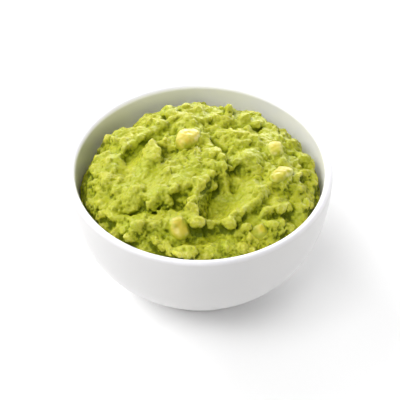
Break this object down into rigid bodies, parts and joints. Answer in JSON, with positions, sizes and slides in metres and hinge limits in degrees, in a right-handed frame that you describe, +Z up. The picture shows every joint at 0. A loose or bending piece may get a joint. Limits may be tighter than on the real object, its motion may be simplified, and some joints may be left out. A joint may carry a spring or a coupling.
{
  "type": "bowl of guacamole",
  "caption": "Chunky guacamole heaped a little above the rim of a plain white round dip bowl, with pale avocado chunks bedded in its rough, spooned top.",
  "frame": {"origin": "centre of the bowl's foot ring, on the surface it stands on", "axes": "+Z up along the bowl's axis, +X to the viewer's right and +Y to the back as the dip is served; the side with the long spoon scoop is right of the middle"},
  "size_m": [0.12, 0.12, 0.0676],
  "materials": {
    "porcelain": "smooth white glaze with a soft gloss",
    "guacamole": null,
    "avocado": null
  },
  "bodies": {
    "root": {"bowl": "porcelain", "guacamole": "guacamole", "avocado_chunk_back": "avocado", "avocado_chunk_right": "avocado", "avocado_chunk_front": "avocado", "avocado_chunk_far_right": "avocado", "avocado_chunk_near_right": "avocado"}
  },
  "joints": []
}
